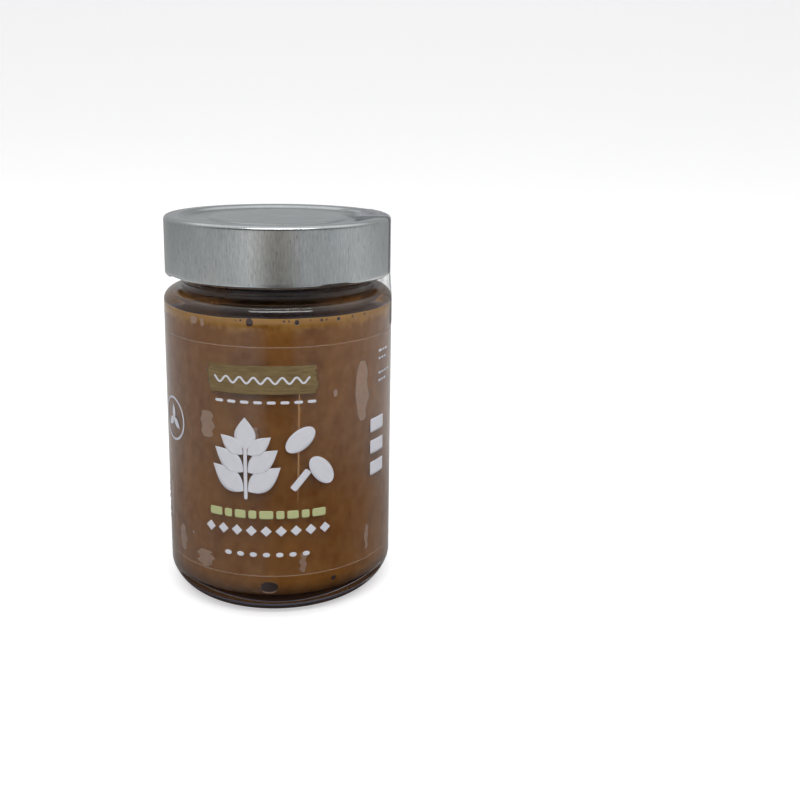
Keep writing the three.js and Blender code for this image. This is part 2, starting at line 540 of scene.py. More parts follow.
@dataclass(frozen=True)
class SpreadFinish:
    """Smooth brown peanut butter pressed against glass, golden and oilier near its top."""

    deep: Colour = rgb(155, 94, 26)
    middle: Colour = rgb(184, 120, 46)
    pale: Colour = rgb(210, 149, 80)
    oil: Colour = rgb(228, 172, 92)
    # painted shade: the near-black brown of the top under the lid
    painted_top_shade: Colour = rgb(38, 22, 12)
    golden_depth: float = 3.0
    golden_sway: float = 2.2
    top_shade_from: float = 20.0

    def material(self, shared: SharedGroups, level: float, edge: float) -> bpy.types.Material:
        """Colour drifts in upright smears with fine pale grains, and turns golden below the level.

        The top is painted a near-black brown, which paints the shade under the lid.

        Args:
            shared: the shared groups.
            level: the height of the contents' edge, in millimetres.
            edge: the contents' radius at the wall.

        Returns:
            The material.
        """
        material, n, shader = new_material("peanut_butter")
        where = n.place()
        height = n.part(where, "Z")
        smear = n.mask(shared.drift, where, Size=11.0, Upright=2.6, Contrast=3.0)
        patch = n.mask(shared.drift, where, Size=3.2, Upright=1.3, Contrast=2.4)
        grains = n.mask(shared.fleck, where, Spacing=1.5, Radius=0.26, Share=0.25)
        body = n.mix(n.times(patch, 0.5), n.mix(smear, self.deep, self.middle), self.pale)
        grainy = n.mix(n.times(grains, 0.45), body, self.pale)
        uneven = n.math("MULTIPLY_ADD", patch, self.golden_sway, height)
        golden = n.between(uneven, level - self.golden_depth, level - 0.2)
        wall = n.mix(n.times(golden, 0.8), grainy, self.oil)
        # painted shade: the top, inward from the wall and above the given height, turns near-black
        inward = n.between(n.from_axis(where), edge - 0.35, edge - 0.1, 1.0, 0.0)
        top_shaded = n.times(inward, n.between(height, self.top_shade_from, self.top_shade_from + 1.0))
        colour = n.mix(top_shaded, wall, self.painted_top_shade)
        n.feed(shader, Base_Color=colour, Roughness=0.45, Specular_IOR_Level=0.0)
        return material


@dataclass(frozen=True)
class SmearFinish:
    """A thin oily brown smear with a golden streak round the throat, thinned almost away in front
    as painted shade, so the dark inside shows there.
    """

    dark: Colour = rgb(146, 100, 66)
    golden: Colour = rgb(196, 140, 76)
    # painted shade: the direction where the smear is thinned, and the cover left there
    shaded_front: Triple = (0.118, -0.993, 0.0)
    shaded_front_cover: float = 0.12
    thin: float = 0.45
    thick: float = 0.95
    streak_rise: float = 0.6

    def material(self, shared: SharedGroups, throat: float) -> bpy.types.Material:
        """Soft patches of alpha, golden within a millimetre or so of the throat's height.

        Args:
            shared: the shared groups.
            throat: the height of the throat, in millimetres.

        Returns:
            The material.
        """
        material, n, shader = new_material("neck_smear")
        where = n.place()
        height = n.part(where, "Z")
        patch = n.mask(shared.drift, where, Size=14.0, Upright=0.35, Contrast=2.2)
        uneven = n.math("MULTIPLY_ADD", patch, 0.8, height)
        away = n.math("ABSOLUTE", n.math("SUBTRACT", uneven, throat + self.streak_rise))
        strength = n.math("MULTIPLY_ADD", patch, 0.3, 0.6)
        streak = n.times(n.between(away, 0.3, 1.4, 1.0, 0.0), strength)
        above = n.between(height, throat - 0.9, throat - 0.1, 0.45, 1.0)
        # painted shade: the smear thins towards the front, so the dark inside shows there
        aim = n.vector("NORMALIZE", n.aside(where)).outputs[0]
        toward = n.vector("DOT_PRODUCT", aim, self.shaded_front).outputs["Value"]
        left = n.times(above, n.between(toward, 0.80, 0.97, 1.0, self.shaded_front_cover))
        cover = n.times(left, n.between(patch, 0.1, 0.8, self.thin, self.thick))
        n.feed(shader, Base_Color=n.mix(streak, self.dark, self.golden), Alpha=cover)
        n.feed(shader, Roughness=0.5, Specular_IOR_Level=0.1)
        return material


@dataclass(frozen=True)
class TinplateFinish:
    """Satin silver tinplate with fine upright rolling grain, dark flecks and a soft sheen."""

    bright: Colour = (0.520, 0.552, 0.560, 1.0)
    dull: Colour = (0.365, 0.388, 0.392, 1.0)
    fleck: Colour = (0.20, 0.21, 0.21, 1.0)
    # painted highlight: pale cream colour for the curl's lower edge
    curl_highlight: Colour = (0.88, 0.88, 0.84, 1.0)
    # a guessed liner colour, made near-black to paint the shade under the lid
    lining_and_shade: Colour = (0.03, 0.026, 0.022, 1.0)
    grain_depth: float = 0.02
    roughness: Pair = (0.25, 0.19)

    def material(
        self, shared: SharedGroups, radius: float, bottom: float, top: float
    ) -> bpy.types.Material:
        """Metal whose colour, roughness and normal follow an upright grain, with a near-black liner
        inside, its darkness painted shade under the lid.

        The curled edge below the liner's start is painted brighter, a painted highlight where light
        catches the curl.

        Args:
            shared: the shared groups.
            radius: the skirt's inner radius; the near-black liner, painted shade, lies inside it.
            bottom: the height where the liner's painted shade starts.
            top: the height where it ends.

        Returns:
            The material.
        """
        material, n, shader = new_material("lid_metal")
        where = n.place()
        height = n.part(where, "Z")
        grain = n.mask(shared.drift, where, Size=0.35, Upright=7.0, Contrast=2.4)
        cloud = n.mask(shared.drift, where, Size=7.0, Upright=2.0, Contrast=2.0)
        marks = n.mask(shared.fleck, where, Spacing=0.9, Upright=3.2, Radius=0.24, Share=0.3)
        tone = n.math("MULTIPLY_ADD", grain, 0.6, n.times(cloud, 0.4))
        flecked = n.mix(n.times(marks, 0.5), n.mix(tone, self.dull, self.bright), self.fleck)
        # painted shade: the lid's inside is coloured near-black
        within = n.math("LESS_THAN", n.from_axis(where), radius)
        inside = n.times(within, n.math("LESS_THAN", height, top))
        lined_and_shaded = n.times(inside, n.math("GREATER_THAN", height, bottom))
        uneven = n.math("MULTIPLY_ADD", cloud, 0.5, height)
        # painted highlight: the curl's bottom edge is mixed towards the pale cream colour
        edge = n.between(uneven, bottom - 1.4, bottom - 0.6, 0.85, 0.0)
        colour = n.mix(lined_and_shaded, n.mix(edge, flecked, self.curl_highlight), self.lining_and_shade)
        n.feed(shader, Base_Color=colour, Roughness=n.between(tone, 0.0, 1.0, *self.roughness))
        n.feed(shader, Metallic=1.0, Normal=n.bump(grain, 0.25, self.grain_depth))
        return material


@dataclass(frozen=True)
class FilmFinish:
    """Clear film that shows at its edges and by a faint haze, and may carry a painted highlight at
    one end.
    """

    name: str
    veil: float
    edge: float
    edge_width: float
    colour: Colour = (0.70, 0.66, 0.62, 1.0)
    edge_colour: Colour = (0.70, 0.62, 0.52, 1.0)
    end_highlight: float = 0.0
    end_highlight_length: float = 5.0

    def material(self, shared: SharedGroups, low: float, high: float) -> bpy.types.Material:
        """Alpha is a faint veil that rises at the sheet's two edges.

        Args:
            shared: the shared groups.
            low: the V coordinate of one edge, in millimetres.
            high: the V coordinate of the other edge.

        Returns:
            The material.
        """
        material, n, shader = new_material(self.name)
        surface = n.add("ShaderNodeSeparateXYZ", n.surface_uv()).outputs
        haze = n.mask(shared.drift, n.place(), Size=6.0, Upright=1.5, Contrast=2.5)
        from_low = n.math("SUBTRACT", surface["Y"], low)
        from_edge = n.math("MINIMUM", from_low, n.math("SUBTRACT", high, surface["Y"]))
        rim = n.between(from_edge, 0.0, self.edge_width, self.edge, 0.0)
        veil = n.times(n.math("ADD", haze, 0.5), self.veil)
        # painted highlight: extra grey cover over the first millimetres of the sheet
        end = n.between(surface["X"], 0.0, self.end_highlight_length, self.end_highlight, 0.0)
        at_edge = n.between(from_edge, 0.0, 2 * self.edge_width, 1.0, 0.0)
        cover = n.math("ADD", n.math("ADD", veil, rim), end)
        colour = n.mix(at_edge, self.colour, self.edge_colour)
        n.feed(shader, Base_Color=colour, Alpha=cover, Roughness=0.2, IOR=1.5)
        return material


@dataclass(frozen=True)
class InkFinish:
    """Opaque print on film, a little uneven where the ink is thin."""

    name: str
    full: Colour
    thin: Colour
    streaks: float = 0.0
    cover: float = 1.0
    soft_edge: float = 0.0
    roughness: float = 0.42

    def material(self, shared: SharedGroups) -> bpy.types.Material:
        """Colour between full and thin ink, with level streaks where the print has them.

        Where it doesn't cover fully it is uneven, and fades towards the edges across its UV.

        Args:
            shared: the shared groups.

        Returns:
            The material.
        """
        material, n, shader = new_material(self.name)
        mottle = n.mask(shared.drift, n.place(), Size=1.6, Upright=1.0, Contrast=1.6)
        lines = n.mask(shared.drift, n.place(), Size=5.0, Upright=0.08, Contrast=3.2)
        wear = n.math("MULTIPLY_ADD", lines, self.streaks, n.times(mottle, 0.35))
        colour = n.mix(wear, self.full, self.thin)
        n.feed(shader, Base_Color=colour, Roughness=self.roughness, IOR=1.4)
        if self.cover < 1.0:
            surface = n.add("ShaderNodeSeparateXYZ", n.surface_uv()).outputs
            inward = [n.math("PINGPONG", surface[axis], 0.5) for axis in ("X", "Y")]
            near = n.math("MINIMUM", *inward)
            fade = n.between(near, 0.0, self.soft_edge, 0.0, self.cover)
            n.feed(shader, Alpha=n.times(fade, n.math("MULTIPLY_ADD", mottle, 0.3, 0.7)))
        return material


@dataclass
class GlassJar:
    """The glass: foot, heel, wall, shoulder, neck and finish, hollow and open at the top."""

    radius: float
    top: float
    wall: float = 2.4
    heel_height: float = 8.5
    heel_blend: float = 1.6
    foot_radius: float = 28.5
    foot_ring: float = 3.0
    push_up: float = 2.4
    shoulder_top: float = 97.8
    shoulder_depth: float = 5.0
    shoulder_drop: float = 4.0
    shoulder_wall: float = 1.4
    neck_radius: float = 30.5
    neck_wall: float = 2.2
    bead: float = 100.2
    bead_half: float = 0.6
    bead_rise: float = 0.3
    finish_radius: float = 33.2
    finish_bottom: float = 105.0
    blend: float = 1.0
    floor_corner: float = 6.2
    floor_centre: float = 7.2
    inner_heel: Pair = (6.5, 5.5)
    turns: int = 288

    @classmethod
    def from_frame(cls) -> GlassJar:
        """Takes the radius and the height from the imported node."""
        _, high = node_box("glass_jar")
        return cls(radius=float(high[0]), top=float(high[2]))

    def throat(self) -> float:
        """The height where the shoulder's inner face turns up into the neck."""
        return self.shoulder_top - self.shoulder_wall

    def heel(self) -> Array:
        """The heel's superellipse: r rises as sin^(2/b), h as 1 - cos^(2/b), of an even angle."""
        angle = np.linspace(0.0, np.pi / 2, 25)
        power = 2 / self.heel_blend
        radius = self.foot_radius + (self.radius - self.foot_radius) * np.sin(angle) ** power
        return np.column_stack((radius, self.heel_height * (1 - np.cos(angle) ** power)))

    def inner_wall(self, reach: float, level: float | None = None) -> Array:
        """The cavity's side from its floor's corner up to the neck, moved outward by reach.

        Args:
            reach: how far beyond the glass's inner face the line lies.
            level: a height that ends the line, or None for all of it.

        Returns:
            The line's points, going up.
        """
        inner = self.radius - self.wall
        across, up = self.inner_heel
        bottom = self.floor_corner + up
        deep, drop = self.shoulder_depth - self.wall, self.shoulder_drop - self.wall
        high = self.throat() - drop
        floor = arc((inner - across, bottom), (across + reach, up + reach), -90, 0)
        side = straight((inner + reach, bottom), (inner + reach, high), 60)
        shoulder = arc((inner - deep, high), (deep + reach, drop + reach), 0, 90)
        line = outline(floor, side, shoulder)
        return line if level is None else line[line[:, 1] < level]

    def neck(self) -> Array:
        """The outside from the shoulder's top over the bead to the finish."""
        neck, bead, rise = self.neck_radius, self.bead, self.bead_rise
        return rounded(
            [
                (self.radius - self.shoulder_depth, self.shoulder_top, 0),
                (neck, self.shoulder_top, 0.5),
                (neck, bead - self.bead_half, 0.3),
                (neck + rise, bead, 0.3),
                (neck, bead + self.bead_half, 0.3),
                (neck, self.finish_bottom, 0.8),
                (self.finish_radius, self.finish_bottom + self.blend, 0.8),
                (self.finish_radius, self.top - self.blend, 0),
            ]
        )

    def line(self) -> Array:
        """The glass's whole outline, from the underside's middle round to the cavity's floor."""
        share = np.linspace(0.0, 1.0, 12)
        foot_inner = self.foot_radius - self.foot_ring
        under = np.column_stack((foot_inner * share, self.push_up * (1 - share**2)))
        wall_top = self.shoulder_top - self.shoulder_drop
        side = straight((self.radius, self.heel_height), (self.radius, wall_top), 24)
        span = (self.shoulder_depth, self.shoulder_drop)
        shoulder = arc((self.radius - self.shoulder_depth, wall_top), span, 0, 90)
        inner_neck = self.neck_radius - self.neck_wall
        lip = (self.finish_radius - inner_neck) / 2
        lip_at = (self.finish_radius - lip, self.top - self.blend)
        rim = arc(lip_at, (lip, self.blend), 0, 180)
        corner = self.wall / 2
        throat = arc((inner_neck + corner, self.throat() + corner), (corner, corner), 180, 270)
        inside = self.inner_wall(0.0)[::-1]
        floor = (0.0, self.floor_centre)
        return outline(under, self.heel(), side, shoulder, self.neck(), rim, throat, inside, floor)

    def build(self, finish: GlassFinish, shared: SharedGroups) -> None:
        """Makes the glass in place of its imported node."""
        shape = revolved(self.line(), self.turns)
        made = shape.piece("jar_glass", finish.material(shared), "jar_glass")
        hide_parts("glass_jar")


@dataclass
class Contents:
    """The peanut butter, which reaches just into the glass so that no air shows between."""

    jar: GlassJar
    level: float
    reach: float = 0.15
    lift: float = 0.15
    edge_round: float = 0.3
    below_box: float = 0.5
    turns: int = 320

    @classmethod
    def from_frame(cls, jar: GlassJar) -> Contents:
        """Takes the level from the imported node, whose middle is a little higher than its edge."""
        _, high = node_box("peanut_butter")
        return cls(jar=jar, level=float(high[2]) - cls.below_box)

    def settle(self, turn: Array, radius: Array, height: Array) -> tuple[Array, Array, Array]:
        """Makes the top uneven: a sum of three waves in turn and radius, fading down the side."""
        angle = np.radians(turn)
        broad = np.sin(3 * angle + 0.6) + 0.6 * np.sin(7 * angle + 2.0)
        wave = broad + 0.4 * np.sin(13 * angle - 1.0 + radius * 0.3)
        near_top = smooth(height, self.level - 2.5, self.level)
        return turn, radius, height + self.lift * wave * near_top / 2.0

    def build(self, finish: SpreadFinish, shared: SharedGroups) -> None:
        """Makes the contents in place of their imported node."""
        side = self.jar.inner_wall(self.reach, self.level - self.edge_round)
        edge = float(side[-1, 0])
        top = rounded(
            [
                (edge, self.level - self.edge_round, 0),
                (edge, self.level, 0.2),
                (edge * 0.6, self.level + 0.1, 1),
                (0.0, self.level + 0.3, 0),
            ]
        )
        shape = revolved(
            outline((0.0, self.jar.floor_centre - self.reach), side, top), self.turns, self.settle
        )
        material = finish.material(shared, self.level, edge)
        made = shape.piece("peanut_butter_fill", material, "peanut_butter")
        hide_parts("peanut_butter")


@dataclass
class NeckSmear:
    """A thin smear of contents on the glass above the level: the shoulder, throat and neck."""

    jar: GlassJar
    level: float
    reach: float = 0.1
    overlap: float = 0.4
    top: float = 113.0
    turns: int = 240

    def side(self, reach: float) -> Array:
        """The smear's face at a distance beyond the glass's inner face, going up."""
        jar = self.jar
        inner_neck = jar.neck_radius - jar.neck_wall
        corner = jar.wall / 2
        shoulder = jar.inner_wall(reach)
        span = (corner - reach, corner - reach)
        throat = arc((inner_neck + corner, jar.throat() + corner), span, 270, 180)
        above = shoulder[shoulder[:, 1] > self.level - self.overlap]
        return outline(above, throat, (inner_neck + reach, self.top))

    def build(self, finish: SmearFinish, shared: SharedGroups) -> None:
        """Makes the smear as a closed band, half in the glass."""
        line = outline(self.side(self.reach), self.side(-self.reach)[::-1])
        shape = revolved(np.vstack((line, line[:1])), self.turns)
        shape.piece("neck_smear", finish.material(shared, self.jar.throat()), "peanut_butter")


@dataclass
class Lid:
    """The twist-off lid: skirt, rolled rim, recessed panel, raised disc, curl and lugs."""

    radius: float
    bottom: float
    top: float
    sheet: float = 0.5
    rim: float = 1.3
    curl: float = 0.8
    rim_flat: float = 31.0
    panel_radius: float = 29.8
    panel_drop: float = 1.1
    disc_radius: float = 21.6
    disc_rise: float = 0.45
    step: float = 0.8
    lugs: int = 4
    lug_turn: float = 35.0
    lug_half: float = 11.0
    lug_notch: float = 0.6
    lug_reach: float = 1.6
    lug_height: float = 2.4
    turns: int = 360

    @classmethod
    def from_frame(cls) -> Lid:
        """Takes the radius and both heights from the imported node."""
        low, high = node_box("lid")
        return cls(radius=float(high[0]), bottom=float(low[2]), top=float(high[2]))

    def line(self) -> Array:
        """The lid's outline, from the curl's inner end over the outside and back underneath."""
        curl_at = (self.radius - self.curl, self.bottom + self.curl)
        rim_at = (self.radius - self.rim, self.top - self.rim)
        panel = self.top - self.panel_drop
        disc = panel + self.disc_rise
        within = self.rim - self.sheet
        crown = [
            (rim_at[0], self.top, 0),
            (self.rim_flat, self.top, 0.7),
            (self.panel_radius, panel, 0.7),
            (self.disc_radius + self.step, panel, 0.4),
            (self.disc_radius, disc, 0.4),
            (0.0, disc, 0),
        ]
        below = [(radius, height - self.sheet, reach) for radius, height, reach in crown[::-1]]
        return outline(
            arc(curl_at, (self.curl, self.curl), -180, 0),
            straight((self.radius, curl_at[1]), (self.radius, rim_at[1]), 16),
            arc(rim_at, (self.rim, self.rim), 0, 90),
            rounded(crown),
            rounded(below),
            arc(rim_at, (within, within), 90, 0),
            (self.radius - self.sheet, curl_at[1] + self.curl),
            (curl_at[0] - self.curl, curl_at[1] + self.curl),
            (curl_at[0] - self.curl, curl_at[1]),
        )

    def press_lugs(self, turn: Array, radius: Array, height: Array) -> tuple[Array, Array, Array]:
        """Lifts the skirt's edge at each lug and draws the curl in under the glass finish."""
        pitch = 360.0 / self.lugs
        offset = np.mod(turn - self.lug_turn + pitch / 2, pitch) - pitch / 2
        lug = smooth(1 - np.abs(offset) / self.lug_half, 0.0, 0.6)
        low = np.clip(1 - (height - self.bottom) / self.lug_height, 0.0, 1.0)
        inside = smooth(self.radius - radius, self.sheet, 2.2 * self.curl)
        drawn = self.lug_reach * lug * low * inside
        return turn, radius - drawn, height + self.lug_notch * lug * low

    def build(self, finish: TinplateFinish, shared: SharedGroups) -> None:
        """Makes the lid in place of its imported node."""
        inner = self.radius - self.sheet / 2
        # the near-black liner inside the lid paints the shade over the neck
        lining_shade_bottom = self.bottom + 2.4 * self.curl
        lining_shade_top = self.top - self.panel_drop - self.sheet / 2
        material = finish.material(shared, inner, lining_shade_bottom, lining_shade_top)
        shape = revolved_cap(self.line(), self.turns, self.press_lugs)
        made = shape.piece("lid_metal", material, "lid_metal")
        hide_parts("lid")


@dataclass
class LabelFilm:
    """The clear film wrapped round the wall, with a crease right of its middle."""

    radius: float
    bottom: float
    top: float
    gap: float = 0.04
    thickness: float = 0.06
    turns: int = 288
    rows: int = 60
    crease_heights: Pair = (33.9, 84.6)
    crease_turns: Pair = (14.7, 16.1)
    crease_half: float = 0.38
    crease_sway: float = 0.12
    crease_rows: int = 80

    @classmethod
    def from_frame(cls, jar: GlassJar) -> LabelFilm:
        """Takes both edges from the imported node, and lies on the glass."""
        low, high = node_box("label_film")
        return cls(radius=jar.radius, bottom=float(low[2]), top=float(high[2]))

    def outer(self) -> float:
        """The film's outer radius, which the print lies on."""
        return self.radius + self.gap + self.thickness

    def crease(self, finish: InkFinish, shared: SharedGroups) -> None:
        """A pale upright crease that leans a little, its half width a smoothed random walk."""
        window = 7
        height = np.linspace(*self.crease_heights, self.crease_rows)
        uneven = np.random.default_rng(2).uniform(-1, 1, self.crease_rows + window - 1)
        sway = np.convolve(uneven, np.ones(window) / 3, "valid")
        half = self.crease_half + self.crease_sway * sway
        lean = np.interp(height, self.crease_heights, self.crease_turns)
        along = np.radians(lean) * self.radius
        edges = [np.column_stack((along + side * half, height)) for side in (-1, 1)]
        shape = Wrap(self.outer(), thickness=0.02, middle=0.0).between(*edges)
        shape.piece("film_crease", finish.material(shared), "label_film")

    def build(self, finish: FilmFinish, shared: SharedGroups) -> None:
        """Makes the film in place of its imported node."""
        round_it = np.linspace(0.0, 360.0, self.turns, endpoint=False)
        turn, height = np.meshgrid(round_it, np.linspace(self.bottom, self.top, self.rows))
        inner = on_axis_turn(turn, self.radius + self.gap, height)
        outer = on_axis_turn(turn, self.outer(), height)
        uv = together(np.radians(turn) * self.radius, height)
        material = finish.material(shared, self.bottom, self.top)
        made = sheet(inner, outer, uv, True).piece("label_film_clear", material, "label_film")
        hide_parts("label_film")


class Motif(Enum):
    """The kinds of plain mark that the label carries."""

    LEAF = "leaf"
    BAR = "bar"
    LOZENGE = "lozenge"
    OVAL = "oval"


@dataclass(frozen=True)
class Mark:
    """One plain mark on the label: its kind, middle, size and lean.

    The middle is the distance along the label from its own middle, and the height, in millimetres.
    The lean is in degrees, anticlockwise from level.
    """

    kind: Motif
    along: float
    height: float
    length: float
    width: float
    lean: float = 0.0

    def half_width(self, share: Array) -> Array:
        """The mark's half width along its length.

        A leaf is w (1 - s^2) (1 - 0.35 s), a lozenge w (1 - |s|), an oval w sqrt(1 - s^2), and a
        bar is full width but for round corners.

        Args:
            share: places along it from -1 to 1.

        Returns:
            The half width at each place.
        """
        half = self.width / 2
        if self.kind is Motif.LEAF:
            return half * (1 - share**2) * (1 - 0.35 * share)
        if self.kind is Motif.LOZENGE:
            return half * (1 - np.abs(share))
        if self.kind is Motif.OVAL:
            return half * np.sqrt(np.clip(1 - share**2, 0, 1))
        round_part = min(half, self.length / 2, 0.5)
        into = np.clip(round_part - (1 - np.abs(share)) * self.length / 2, 0, round_part)
        return half - round_part + np.sqrt(np.clip(round_part**2 - into**2, 0, None))

    def edges(self) -> tuple[Array, Array]:
        """The mark's two long edges, left and right of its own direction."""
        share = np.sin(np.linspace(-np.pi / 2, np.pi / 2, 25))
        lean = math.radians(self.lean)
        ahead = np.array([math.cos(lean), math.sin(lean)])
        right = np.array([ahead[1], -ahead[0]])
        middle = np.array([self.along, self.height]) + share[:, None] * ahead * self.length / 2
        reach = np.maximum(self.half_width(share), LEAST_HALF)[:, None] * right
        return middle - reach, middle + reach


@dataclass
class Wrap:
    """Lays flat shapes on the round wall: along the label becomes turn, and height stays."""

    radius: float
    thickness: float = 0.03
    middle: float = -0.5
    columns: int = 7

    def lay(self, flat: Array, uv: Array, ring: bool = False) -> Shape:
        """Wraps a grid of flat points: turn = middle + along / radius.

        Args:
            flat: rows by columns by two, along and height.
            uv: a pair for each grid point.
            ring: whether each row closes on itself.

        Returns:
            A thin closed sheet on the wall.
        """
        turn = self.middle + np.degrees(flat[..., 0] / self.radius)
        inner = on_axis_turn(turn, self.radius, flat[..., 1])
        outer = on_axis_turn(turn, self.radius + self.thickness, flat[..., 1])
        return sheet(inner, outer, uv, ring)

    def between(self, left: Array, right: Array) -> Shape:
        """Fills the space between two edges of the same number of points."""
        across = np.linspace(0.0, 1.0, self.columns)
        share = across[None, :, None]
        flat = left[:, None, :] * (1 - share) + right[:, None, :] * share
        return self.lay(flat, together(across, np.linspace(0.0, 1.0, len(left))[:, None]))

    def ring(self, along: float, height: float, radius: float, width: float) -> Shape:
        """A ring line: middle + (r + w) (cos, sin) of an angle that runs clockwise."""
        angle = np.linspace(0.0, -2 * np.pi, 97)[:-1]
        spread = radius + np.array([-width / 2, width / 2])[:, None]
        flat = together(along + spread * np.cos(angle), height + spread * np.sin(angle))
        uv = together(-angle / (2 * np.pi), np.array([0.0, 1.0])[:, None])
        return self.lay(flat, uv, True)

    def wave(self, ends: Pair, height: float, swing: float, length: float, width: float) -> Shape:
        """A wavy line: height + swing * sin(2 pi along / length), of even width.

        Args:
            ends: where it starts and stops along the label.
            height: its middle height.
            swing: how far it swings up and down.
            length: the length of one wave.
            width: the line's width.

        Returns:
            The line on the wall.
        """
        along = np.linspace(*ends, int((ends[1] - ends[0]) * 5))
        path = np.column_stack((along, height + swing * np.sin(2 * np.pi * along / length)))
        ahead = headings(path)
        right = np.column_stack((ahead[:, 1], -ahead[:, 0])) * width / 2
        return self.between(path - right, path + right)

    def ragged_band(self, ends: Pair, heights: Pair, seed: int) -> Shape:
        """A band whose two ends are uneven in short steps, as brushed ink leaves them."""
        steps, rows_each = 11, 4
        uneven = np.random.default_rng(seed).uniform(-0.5, 0.5, (2, steps))
        uneven = np.repeat(uneven, rows_each, axis=1)
        height = np.linspace(*heights, steps * rows_each)
        edges = [np.column_stack((end + sway, height)) for end, sway in zip(ends, uneven)]
        return Wrap(self.radius, self.thickness, self.middle, columns=90).between(*edges)


@dataclass
class LabelPrint:
    """The print: a streaked olive band, pale and green marks in rows, a sprig and a ring seal."""

    film: LabelFilm

    def dashes(self, ends: Pair, heights: tuple[float, ...], seed: int) -> list[Mark]:
        """Rows of small dashes of seeded lengths.

        Args:
            ends: where the rows may start and stop along the label.
            heights: each row's height.
            seed: the random seed.

        Returns:
            The dashes.
        """
        random = np.random.default_rng(seed)
        marks = []
        for height in heights:
            along = ends[0]
            stop = ends[1] - random.uniform(0.0, 0.35) * (ends[1] - ends[0])
            while along < stop:
                length = random.uniform(0.8, 2.2)
                marks.append(Mark(Motif.BAR, along + length / 2, height, length, 0.75))
                along += length + 0.6
        return marks

    def sprig(self, along: float, height: float) -> list[Mark]:
        """A stem with three pairs of leaves and one at its tip."""
        stem = Mark(Motif.BAR, along, height + 7.5, 17.0, 1.1, 90)
        marks = [stem, Mark(Motif.LEAF, along, height + 19.5, 10.0, 6.4, 90)]
        for step, size in ((1.0, 12.5), (7.0, 11.5), (12.5, 9.0)):
            for side in (-1, 1):
                lean = 90 - side * 52
                reach = size / 2 + 0.9
                right = math.cos(math.radians(lean)) * reach
                up = math.sin(math.radians(lean)) * reach
                middle = (along + right, height + step + up)
                marks.append(Mark(Motif.LEAF, *middle, size, size * 0.52, lean))
        return marks

    def white(self) -> list[Shape]:
        """Everything in white ink."""
        wrap = Wrap(self.film.outer() + INK_LIFT)
        rows = (
            (Motif.LOZENGE, np.arange(-18.0, 19.0, 4.5), 28.6, 3.4, 3.4),
            (Motif.OVAL, np.arange(-12.0, 12.1, 4.0), 21.0, 2.2, 1.5),
            (Motif.BAR, np.arange(-14.0, 14.1, 4.0), 68.6, 2.6, 0.9),
        )
        seal = (-36.0, 58.5)
        seal_leaves = ((0, 2.2, 90), (-2, -1.2, 215), (2, -1.2, -35))
        marks = self.sprig(-6.0, 39.5)
        marks.append(Mark(Motif.OVAL, 10.5, 57.0, 10.4, 6.0, 38))
        marks.append(Mark(Motif.OVAL, 17.0, 47.0, 10.4, 6.0, -52))
        marks.append(Mark(Motif.BAR, 10.5, 44.5, 7.5, 2.2, 50))
        for kind, places, *size in rows:
            marks += [Mark(kind, along, *size) for along in places]
        marks += self.dashes((-49.0, -43.5), (34.0, 31.8, 29.6, 25.2, 23.0), 4)
        marks += self.dashes((40.5, 48.5), (80.0, 77.6, 73.0, 70.6), 8)
        marks += [Mark(Motif.BAR, 40.0, height, 8.0, 4.4) for height in (57.0, 50.0, 43.0)]
        for right, up, lean in seal_leaves:
            marks.append(Mark(Motif.LEAF, seal[0] + right, seal[1] + up, 5.0, 2.3, lean))
        shapes = [wrap.between(*mark.edges()) for mark in marks]
        return shapes + [wrap.ring(*seal, 6.6, 0.7), wrap.wave((-15.5, 13.5), 75.2, 0.9, 4.2, 0.6)]

    def green(self) -> list[Shape]:
        """The row of pale green marks."""
        wrap = Wrap(self.film.outer() + INK_LIFT)
        widths = np.array([4.2, 2.4, 3.4, 2.4, 4.2, 2.4, 3.4, 2.4, 4.2])
        starts = np.cumsum(np.concatenate(([0.0], widths[:-1] + 0.9))) - 18.0
        middles = starts + widths / 2
        marks = [Mark(Motif.BAR, along, 33.8, wide, 2.6) for along, wide in zip(middles, widths)]
        return [wrap.between(*mark.edges()) for mark in marks]

    def build(self, inks: dict[str, InkFinish], shared: SharedGroups) -> None:
        """Makes the three inks' pieces.

        Args:
            inks: the finish of each piece by name.
            shared: the shared groups.
        """
        band = [Wrap(self.film.outer()).ragged_band((-17.5, 15.5), (71.0, 79.6), 5)]
        layers = {"print_olive": band, "print_green": self.green(), "print_white": self.white()}
        for name, shapes in layers.items():
            Shape.joined(shapes).piece(name, inks[name].material(shared), "label_film")


@dataclass(frozen=True)
class Blot:
    """A place where the contents stand off the glass: its middle, half sizes and unevenness."""

    turn: float
    height: float
    half_across: float
    half_up: float
    rough: float = 0.2
    seed: int = 1

    def edges(self, radius: float) -> list[Array]:
        """Both edges: an ellipse whose half width varies by a seeded sum of sines of height."""
        random = np.random.default_rng(self.seed)
        angle = np.linspace(-np.pi / 2, np.pi / 2, 33)
        rates, shifts = np.arange(2, 9), random.uniform(0, 2 * np.pi, (2, 7))
        sines = np.sin(angle[None, :, None] * rates + shifts[:, None, :])
        uneven = 1 + self.rough * (sines * random.uniform(0.2, 1.0, (2, 1, 7))).sum(axis=-1) / 2
        along = math.radians(self.turn) * radius
        half = np.maximum(self.half_across * np.cos(angle) ** 0.7 * uneven, LEAST_HALF)
        height = self.height + self.half_up * np.sin(angle)
        return [np.column_stack((along + side * h, height)) for side, h in zip((-1, 1), half)]


